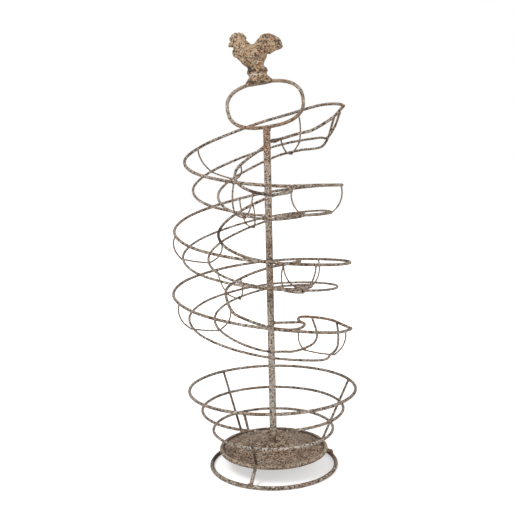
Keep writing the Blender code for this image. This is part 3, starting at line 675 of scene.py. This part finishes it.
def stations(first, last):
    """Turns from first to last, evenly, as near to a station apart as fits."""
    return np.linspace(first, last, round((last - first) / STATION_DEGREES) + 1)


def nearest(place, path):
    """Distance from a place to a line of short stretches, and the line's direction there."""
    a, b = path[:-1], path[1:]
    side = b - a
    share = np.clip(np.sum((place - a) * side, 1) / np.sum(side * side, 1), 0, 1)
    far = np.linalg.norm(place - a - side * share[:, None], axis=1)
    k = int(np.argmin(far))
    return far[k], unit(side[k])


def both_up_to(path, others, gap):
    """Cut both ends of a line off, past its middle, where it comes closer than gap to any of
    the other lines."""
    for _ in range(2):
        for other in others:
            close = (k for k in range(len(path) // 2, len(path)) if nearest(path[k], other)[0] < gap)
            path = path[:next(close, len(path)) + 1]
        path = path[::-1]
    return path


def upper(shares):
    """Places at the upper mouth, from shares of its reach counted from the pole and its weld."""
    return np.reshape(shares, (-1, 3)) * TOP_REACH + (0, 0, WELD_HEIGHT)


def lower(shares):
    """Places at the lower mouth, from shares of its reach and from the chute's lowest height."""
    return np.reshape(shares, (-1, 3)) * END_REACH + (0, 0, CHUTE_TOP - CHUTE_DROP)


rail_weld = around((POLE_DIAMETER + GUIDE_WIRE) / 2, WELD_DEGREES, WELD_HEIGHT)[None] - AXIS
outer_rail = faired(RAIL_STEPS, upper(TOP_TIP), upper(UPPER_OUTER), guide(stations(*OUTER_SPAN), 1),
                    lower(LOWER_OUTER), lower(END_TIP))
inner_rail = faired(RAIL_STEPS, upper(TOP_TIP), upper(UPPER_BOW), rail_weld,
                    guide(stations(*INNER_SPAN), -1), lower(LOWER_BOW), lower(END_TIP))
inner_rail = both_up_to(inner_rail, (outer_rail,), GUIDE_WIRE / 2)
outer_floor = faired(RAIL_STEPS, upper(OUTER_FLOOR_TOP), floor(stations(*OUTER_FLOOR_SPAN), 1),
                     lower(OUTER_FLOOR_END))
inner_floor = faired(RAIL_STEPS, upper(INNER_FLOOR_TOP), floor(stations(*INNER_FLOOR_SPAN), -1),
                     lower(INNER_FLOOR_END))
outer_floor = both_up_to(outer_floor, (outer_rail, inner_rail), FLOOR_WIRE / 2)
inner_floor = both_up_to(inner_floor, (outer_rail, inner_rail), FLOOR_WIRE / 2)
RAILS = (outer_rail, inner_rail, outer_floor, inner_floor)
RAIL_NAMES = ("outer_guide_rail", "inner_guide_rail", "outer_floor_rail", "inner_floor_rail")
RAIL_SIZES = (GUIDE_WIRE, GUIDE_WIRE, FLOOR_WIRE, FLOOR_WIRE)
# Dark and rusty stretches of the guide rails, likewise.
RAIL_STAINS = {
    "inner_guide_rail": {
        "hollow": ((AXIS + guide(258, -1), (.014, .02, .012), -.00009),
                   (AXIS + guide(545, -1), (.016, .03, .016), -.00014),
                   (AXIS + (.012, .004, .400), .010, -.00006)),
        "rusty": ((AXIS + lower((.5, .35, .08))[0], .045, 1.1),)},
    "outer_guide_rail": {
        "hollow": ((AXIS + guide(724, 1), .014, -.00010),
                   (AXIS + lower((.80, -.30, .05))[0], .014, -.00010)),
        "rusty": ((AXIS + guide(368, 1), .024, .8), (AXIS + lower((.9, .1, .03))[0], .04, 1),
                  (AXIS + upper(TOP_TIP)[0], .02, .4))}}
for number, (name, line, size) in enumerate(zip(RAIL_NAMES, RAILS, RAIL_SIZES)):
    skin = wire_skin(AXIS + line, size, UPRIGHT, 100 + 3 * number, 12 if size == GUIDE_WIRE else 10)
    put(name + "_wire", [skin], wire_coat, "worn_wire", name, **RAIL_STAINS.get(name, {}))
round_pole = np.cross(UPRIGHT, unit(rail_weld[0] * (1, 1, 0))) + (0, 0, .1)
rail_welds = [bead(AXIS + rail_weld[0] * POLE_WELD_SHARES, round_pole, *POLE_WELD, 120),
              bead(AXIS + BOW_WELD_PLACE, BOW_WELD_ALONG, *BOW_WELD, 119)]
for line, size in ((inner_rail, GUIDE_WIRE), (outer_floor, FLOOR_WIRE), (inner_floor, FLOOR_WIRE)):
    long, wide = size * np.array(END_WELD_SHARES)
    for end, before in ((line[0], line[4]), (line[-1], line[-5])):
        rail_welds.append(bead(AXIS + end, end - before, long, wide, 121 + len(rail_welds)))
put("rail_welds", rail_welds, weld_coat, "worn_wire")

# Hangers
# Eleven bows of 1.9 mm wire tie the rails together: each starts under the outer guide rail,
# bulges down to both floor rails, passes below them and ends under the inner guide rail.
HANGER_WIRE, SKIN_STEP, BOW_STEPS = .0019, .0006, 14
# Each one's turn round the chute, the way its plane faces, how far that lies off the pole over
# GUIDE_GAP, and how much it leans.
HANGERS = ((56, 66, -.22, 0), (152, 143, .40, -.7), (250, 250, -.02, -.1), (357, 346, .33, .05),
           (471, 109, .04, -.15), (548, 176, .55, -.6), (657, 306, -.21, -.32), (775, 40, .3, -.2),
           (848, 121, .24, -.2), (923, 189, .5, -.37), (1056, 337, -.23, -.4))
HUG_BENDS = np.radians((45, 70))
LIMB_SHARES = np.array((3 / 4, 1 / 2, 1 / 4))[:, None]
LIMB_BULGE, SAG, HUG_GAP, TOP_SHARE = .15, .02, .0002, .4
TOP_WELD, LOW_WELD, LOW_WELD_SHARE = (.0019, .0011), (.0015, .0009), .45


def crossing(path, origin, square, near):
    """Where a line cuts the plane through origin whose normal is square, closest to near."""
    offset = (path - origin) @ square
    k = np.nonzero(offset[:-1] * offset[1:] <= 0)[0]
    share = (offset[k] / (offset[k] - offset[k + 1]))[:, None]
    found = path[k] + (path[k + 1] - path[k]) * share
    return found[np.argmin(np.linalg.norm(found - near, axis=1))]


def hanger_line(degrees, direction, shift, lean):
    """The bow in its own leaning plane: two limbs that bulge as a parabola, a bend round each
    floor rail and a slight sag between them. Also gives its four contacts."""
    guesses = (guide(degrees, 1), guide(degrees, -1), floor(degrees, 1), floor(degrees, -1))
    turn = math.radians(direction)
    sideways = np.array([-math.sin(turn), math.cos(turn), 0])
    origin = sideways * shift * GUIDE_GAP + (0, 0, (guesses[0][2] + guesses[1][2]) / 2)
    square = unit(sideways + (0, 0, lean))
    a, d, b, c = (crossing(line, origin, square, near) for line, near in zip(RAILS, guesses))
    out = unit(b - c)
    down = b + c - a - d
    down = unit(down - out * (down @ out))
    slants = [abs(nearest(place, line)[1] @ square) for place, line in zip((b, c), RAILS[2:])]
    hugs = [(FLOOR_WIRE / slant + HANGER_WIRE) / 2 + HUG_GAP for slant in slants]
    limbs = []
    for rail, top, outward, hug in zip((b, c), (a, d), (out, -out), hugs):
        bends = rail + hug * (np.cos(HUG_BENDS)[:, None] * outward + np.sin(HUG_BENDS)[:, None] * down)
        chord = top - bends[0]
        bulge = unit(outward - chord * (outward @ chord) / (chord @ chord)) * np.linalg.norm(chord)
        limb = bends[0] + chord * LIMB_SHARES + bulge * LIMB_BULGE * 4 * LIMB_SHARES * (1 - LIMB_SHARES)
        end = top + unit(limb[:1] - top) * GUIDE_WIRE * TOP_SHARE
        limbs.append(np.concatenate([end, limb, bends]))
    lowest = (b + c) / 2 + down * (max(hugs) + SAG * np.linalg.norm(b - c))
    return np.concatenate([limbs[0], lowest[None], limbs[1][::-1]]), square, (a, d, b, c)


hanger_coat = weathered("hanger_coat", (.46, .44, .38), (.310, .245, .180), fine=1.5)
hanger_welds = []
for number, numbers in enumerate(HANGERS, 1):
    bow, square, contacts = hanger_line(*numbers)
    bow_line = AXIS + faired(BOW_STEPS, bow)
    skin = wire_skin(bow_line, HANGER_WIRE, square, 130 + 3 * number, 9, step=SKIN_STEP)
    put(f"hanger_{number:02d}", [skin], hanger_coat, "hanger_wire", f"stirrup_{number:02d}")
    for line, end in ((RAILS[0], bow[0]), (RAILS[1], bow[-1])):
        hanger_welds.append(bead(AXIS + end, nearest(end, line)[1], *TOP_WELD, 170 + len(hanger_welds)))
    down = unit(np.mean(bow[5:8], 0) - (contacts[0] + contacts[1]) / 2)
    for line, place in zip(RAILS[2:], contacts[2:]):
        below = place + down * FLOOR_WIRE * LOW_WELD_SHARE
        hanger_welds.append(bead(AXIS + below, nearest(place, line)[1], *LOW_WELD, 170 + len(hanger_welds)))
put("hanger_welds", hanger_welds, weld_coat, "hanger_wire")

# Tie bar
# A short level piece of 3.4 mm iron wire that holds the chute's lowest bow to the pole, with a
# weld at both ends.
TIE_WIRE, TIE_INTO_POLE, TIE_INTO_BOW = .0034, .0008, .0004
TIE_POLE_WELD, TIE_BOW_WELD, TIE_WELD_INSET = (.0022, .0020), (.0024, .0019), .0012
TIE_GUESS = lower((.37, 0, .09))[0]

tie_end = crossing(inner_rail, np.zeros(3), np.array([0, 1, 0]), TIE_GUESS)
tie_start = np.array([POLE_DIAMETER / 2 - TIE_INTO_POLE, 0, tie_end[2]])
skin = wire_skin(AXIS + straight(tie_start, tie_end - (TIE_INTO_BOW, 0, 0)), TIE_WIRE, UPRIGHT, 220)
put("tie_bar_wire", [skin], wire_coat, "worn_wire", "tie_bar")
inset = np.array((TIE_WELD_INSET, 0, 0))
tie_welds = [bead(AXIS + tie_start + inset, UPRIGHT, *TIE_POLE_WELD, 223),
             bead(AXIS + tie_end - inset, (0, 1, 0), *TIE_BOW_WELD, 224)]
put("tie_welds", tie_welds, weld_coat, "worn_wire")

# Carry handle
# One closed oval of 4.3 mm wire, standing on edge and leaning a little to the left; its lowest
# side is welded across the pole's top.
HANDLE_WIRE, HANDLE_WIDTH, HANDLE_HEIGHT, HANDLE_OFFSET = .0043, .090, .0523, .0026
HANDLE_LEAN, HANDLE_ROUNDNESS = math.radians(7.9), 2.5
SEAT_GAP = .0003
HANDLE_RUSTY = ((AXIS + (-.012, 0, .418), (.022, .01, .006), .75),
                (AXIS + (.022, 0, .423), (.014, .01, .006), .6),
                (AXIS + (.020, 0, .475), (.012, .01, .008), .5))
HANDLE_DARK = ((AXIS + (.006, 0, .420), (.032, .01, .008), -.00004),)
SEAT_WELD, SEAT_WELD_PLACE, SEAT_WELD_ALONG = (.0046, .0040), (.0004, 0, -.0004), (1, 0, .1)
SIDE_WELD, SIDE_WELD_PLACE = (.0026, .0022), (-.0024, -.0012, -.0022)

top_rise = SEAT_GAP + HANDLE_WIRE / 2 / math.cos(HANDLE_LEAN) + POLE_DIAMETER / 2 * math.tan(HANDLE_LEAN)


def leaned(places):
    """From the top's own frame, which leans to the left on the pole's end, to the rack's."""
    cosine, sine = math.cos(HANDLE_LEAN), math.sin(HANDLE_LEAN)
    x, y, z = np.moveaxis(places, -1, 0)
    turned = np.stack([x * cosine - z * sine, y, x * sine + z * cosine], axis=-1)
    return AXIS + turned + (0, 0, POLE_TOP + top_rise)


def signed_power(values, power):
    """The power of the size of each value, with the value's own sign."""
    return np.sign(values) * np.abs(values) ** power


def oval():
    """A closed oval: x and z are the half sizes times cosine and sine, each raised to the
    signed power of two over the roundness."""
    turn = np.linspace(0, FULL_TURN, 221)
    power = 2 / HANDLE_ROUNDNESS
    x = HANDLE_OFFSET + HANDLE_WIDTH / 2 * signed_power(np.cos(turn), power)
    z = HANDLE_HEIGHT / 2 * (1 + signed_power(np.sin(turn), power))
    return np.stack([x, np.zeros(len(turn)), z], axis=1)


skin = wire_skin(leaned(oval()), HANDLE_WIRE, (0, 1, 0), 230, 14, True)
handle_coat = weathered("handle_coat", (.38, .43, .41), (.420, .340, .265), fine=1.2)
put("carry_handle_wire", [skin], handle_coat, "worn_wire", "carry_handle", closed=True, rusty=HANDLE_RUSTY,
    hollow=HANDLE_DARK)
pole_end = AXIS + (0, 0, POLE_TOP)
put("handle_weld", [bead(pole_end + SEAT_WELD_PLACE, SEAT_WELD_ALONG, *SEAT_WELD, 233, .9),
                    bead(pole_end + SIDE_WELD_PLACE, UPRIGHT, *SIDE_WELD, 234)], weld_coat, "worn_wire")

# Rooster
# A small pitted iron casting, a rooster on a moulded foot, about 60 mm high. Its foot saddles
# the handle's upper side and is welded to it.
FINIAL = .060
VOXEL, SMOOTH_FACTOR, SMOOTH_TIMES = .00042, .5, 5
LOFT_SIDES, LOFT_STEPS = 48, 10


def loft(rows):
    """A closed body from rows of middle x, z, the section's half height across the middle
    line, its half depth front to back: an oval section carried along the smooth line through
    the middles, its sizes faired the same way."""
    rows = faired(LOFT_STEPS, rows)
    middle = np.stack([rows[:, 0], np.zeros(len(rows)), rows[:, 1]], axis=1)
    along = unit(np.gradient(middle, axis=0))
    across = np.cross(along, (0, 1, 0))
    v = np.arange(LOFT_SIDES) / LOFT_SIDES * FULL_TURN
    skin = (middle[:, None] + across[:, None] * rows[:, 2, None, None] * np.cos(v)[:, None]
            + np.array((0, 1, 0)) * rows[:, 3, None, None] * np.sin(v)[:, None])
    return skin * FINIAL, np.zeros(skin.shape[:2])


def lens_shape(x, z, turn, long, tall, deep, y=0):
    """A closed ellipsoid with half sizes long, tall and deep, turned in the upright plane."""
    u = np.linspace(0, math.pi, 26)[1:-1, None]
    v = np.arange(32)[None] / 32 * FULL_TURN
    a, b, c = long * np.cos(u) + 0 * v, tall * np.sin(u) * np.cos(v), deep * np.sin(u) * np.sin(v)
    turn = math.radians(turn)
    skin = np.stack([x + a * math.cos(turn) - b * math.sin(turn), y + c,
                     z + a * math.sin(turn) + b * math.cos(turn)], axis=-1)
    return skin[::-1] * FINIAL, np.zeros(skin.shape[:2])


TORSO = lens_shape(-.055, .55, -14, .29, .20, .158)
BREAST = lens_shape(-.215, .61, 124, .24, .17, .14)
BELLY = lens_shape(-.14, .47, -40, .19, .15, .13)
NECK = loft(((-.14, .58, .12, .11), (-.19, .66, .165, .125), (-.235, .74, .150, .112),
             (-.265, .80, .142, .10), (-.28, .86, .142, .088), (-.285, .92, .112, .07),
             (-.285, .965, .05, .04)))
TAIL = loft(((-.02, .54, .13, .10), (.06, .605, .14, .115), (.15, .665, .16, .10), (.20, .685, .185, .095),
             (.25, .70, .205, .09), (.35, .695, .185, .078), (.43, .67, .145, .066), (.49, .635, .10, .054),
             (.53, .605, .05, .036), (.55, .59, .015, .015)))
WAIST = loft(((-.03, .24, .155, .095), (-.03, .29, .158, .10), (-.03, .335, .175, .115),
              (-.032, .38, .20, .13), (-.034, .43, .23, .14), (-.036, .50, .25, .145)))
BEAK = loft(((-.38, .81, .065, .05), (-.43, .80, .055, .038), (-.465, .785, .04, .026),
             (-.487, .77, .018, .012)))
COMB = [lens_shape(*numbers) for numbers in (
    (-.415, .912, 60, .052, .036, .028), (-.375, .952, 75, .050, .036, .030),
    (-.315, .972, 90, .046, .038, .032), (-.25, .968, 95, .046, .038, .032),
    (-.19, .945, 115, .050, .038, .030), (-.155, .895, 130, .052, .040, .028))]
WATTLES = [lens_shape(-.392, .625, 95, .078, .044, .030, y) for y in (-.03, .03)]
EYES = [lens_shape(-.35, .85, 0, .017, .017, .010, y) for y in (-.088, .088)]
FOOT_ROWS = ((.02, .33), (.140, .33), (.150, .315), (.156, .295), (.165, .28), (.188, .268), (.200, .25),
             (.206, .225), (.206, .20), (.196, .182), (.185, .165), (.179, .145), (.186, .122), (.203, .10),
             (.220, .08), (.238, .06), (.260, .035), (.278, .01), (.284, -.02), (.278, -.036), (.02, -.036))
FOOT_MIDDLE_SHARE, FOOT_FLATNESS, FOOT_POWER, FOOT_STEP = -.008, .62, .9, .012
# The feathers' relief: middles and widths over the rooster's height, and heights in metres.
TAIL_MIDDLE, BACK_MIDDLE, WING_MIDDLE, WING_SLOPE = (.20, .52), (.02, 1.10), (-.10, .57), (.97, .24)
TAIL_GROOVE, NECK_ROW, NECK_LOBES, QUILL_GAP, WING_ROW = .052, .050, 11, .042, .045
WING_LENGTH, WING_WIDTH, WING_TAPER = .205, .105, 1.75
TAIL_RELIEF, NECK_RELIEF, WING_RISE, QUILL_RELIEF, ROW_RELIEF = .00016, .00036, .0009, .00022, .0003
# The cast skin: size, depth and limit of its pits, size and height of its lumps, and
# how much of the relief and of the feathers shows as dark hollows.
CAST_SKIN = ((.0019, .00045, .25), (.0010, .00040, .30), (.0042, .00016), (.0014, .00009))
HOLLOW_SHARE, FEATHER_SHARE = .35, .8


def moulded_foot():
    """The foot's outline carried up as a rounded oblong: half size times the signed power of
    cosine and, flattened, of sine."""
    rows = evenly(np.array([(r, 0, z) for r, z in FOOT_ROWS]), FOOT_STEP)
    v = np.arange(64) / 64 * FULL_TURN
    x = FOOT_MIDDLE_SHARE + rows[:, :1] * signed_power(np.cos(v), FOOT_POWER)
    y = rows[:, :1] * signed_power(np.sin(v), FOOT_POWER) * FOOT_FLATNESS
    skin = np.stack([x, y, np.broadcast_to(rows[:, 2:], x.shape)], axis=-1)
    return skin[:, ::-1] * FINIAL, np.zeros(x.shape)


def ramp(values, start, end):
    """Nought up to the start, one from the end on, and the share of the way in between."""
    return np.clip((values - start) / (end - start), 0, 1)


def feathers(places):
    """Relief of the casting over its own x and z: grooves that follow the tail's arc, rows of
    short feathers on the neck and breast, and a wing with long quills on each flank."""
    x, y, z = places.T / FINIAL
    tail_x, tail_z = x - TAIL_MIDDLE[0], z - TAIL_MIDDLE[1]
    arc = np.hypot(tail_x, tail_z * .95) / TAIL_GROOVE
    grooves = np.cos(FULL_TURN * (arc + .15 * np.sin(3 * np.arctan2(tail_z, tail_x))))
    tail = ramp(x, .03, .09) * ramp(z, .56, .61) * np.clip(grooves, -1, .5) * TAIL_RELIEF
    back_x, back_z = x - BACK_MIDDLE[0], z - BACK_MIDDLE[1]
    rows = np.hypot(back_x, back_z) / NECK_ROW
    stagger = np.floor(rows) % 2 / 2
    lobes = np.abs(np.sin(math.pi * (np.arctan2(back_z, back_x) * NECK_LOBES + stagger)))
    on_neck = ramp(x, -.12, -.20) * ramp(z, .44, .54) * ramp(z, .84, .78)
    neck = on_neck * (.5 - rows % 1) * NECK_RELIEF * (.45 + .55 * lobes)
    wing_x, wing_z = x - WING_MIDDLE[0], z - WING_MIDDLE[1]
    along = wing_x * WING_SLOPE[0] - wing_z * WING_SLOPE[1]
    over = wing_x * WING_SLOPE[1] + wing_z * WING_SLOPE[0]
    inside = 1 - (along / WING_LENGTH) ** 2 - (over / (WING_WIDTH * (1 - WING_TAPER * along))) ** 2
    quills = np.clip(np.cos(FULL_TURN * (over / QUILL_GAP + .5 * along)), -1, .4) * ramp(along, -.02, .03)
    short_rows = ((along / WING_ROW) % 1 - .5) * ramp(along, .01, -.03)
    plumes = ramp(inside, 0, .2) * (quills * QUILL_RELIEF + short_rows * ROW_RELIEF)
    return tail + neck + ramp(np.abs(y), .048, .128) * (ramp(inside, 0, .25) * WING_RISE + plumes)


def casting(name, skins):
    """Weld the closed bodies to one skin of small even squares, smooth it, then raise the
    feathers and sink the pits along its normals."""
    block = shown(name + "_rough", skin_mesh(name + "_rough", skins))
    welded = block.modifiers.new("welded", "REMESH")
    welded.mode = "VOXEL"
    welded.voxel_size = VOXEL
    soft = block.modifiers.new("soft", "SMOOTH")
    soft.factor = SMOOTH_FACTOR
    soft.iterations = SMOOTH_TIMES
    bpy.context.view_layer.update()
    mesh = bpy.data.meshes.new_from_object(block.evaluated_get(bpy.context.evaluated_depsgraph_get()))
    bpy.data.objects.remove(block)
    mesh.name = name
    places, normals = (rows_of(mesh, kind).astype(float) for kind in ("co", "normal"))
    relief = worn(places, 301, CAST_SKIN)
    raised = feathers(places)
    places = leaned(places + normals * (relief + raised)[:, None] + (0, 0, HANDLE_HEIGHT))
    mesh.vertices.foreach_set("co", places.astype(np.float32).ravel())
    sunk(mesh, (relief + raised * FEATHER_SHARE) * HOLLOW_SHARE)
    mesh.update()
    return mesh


def on_rooster(x, z):
    """A place in the rooster's middle plane, from shares of its height."""
    return leaned(np.array([x, 0, z]) * FINIAL + (0, 0, HANDLE_HEIGHT))


cast_coat = weathered("cast_coat", (.50, .44, .43), (.510, .365, .230), patch=110, bump=.5,
                      stain=(.300, .165, .080), pale=(.640, .530, .400), fine=1.25)
parts = [TORSO, BREAST, BELLY, NECK, TAIL, WAIST, BEAK, moulded_foot()] + COMB + WATTLES + EYES
foot_front = on_rooster(-.008, .015)
# Painted shade in a band at the foot's bottom and round its bulge higher up, on the lower breast and on the
# tail's edge; a painted highlight on the hollow band of the foot between them.
put("rooster_casting", casting("rooster_casting", parts), cast_coat, "cast_finial", "rooster_finial",
    hollow=((foot_front + (-.002, 0, -.0012), (.018, .04, .0024), -.00010),
            (foot_front + (-.003, 0, .0125), (.016, .04, .0012), -.00006),
            (on_rooster(-.24, .38), (.006, .02, .005), -.00004),
            (on_rooster(.50, .66), (.004, .02, .005), -.00005)),
    paler=((foot_front + (-.006, 0, .0080), (.012, .03, .0020), 1),))
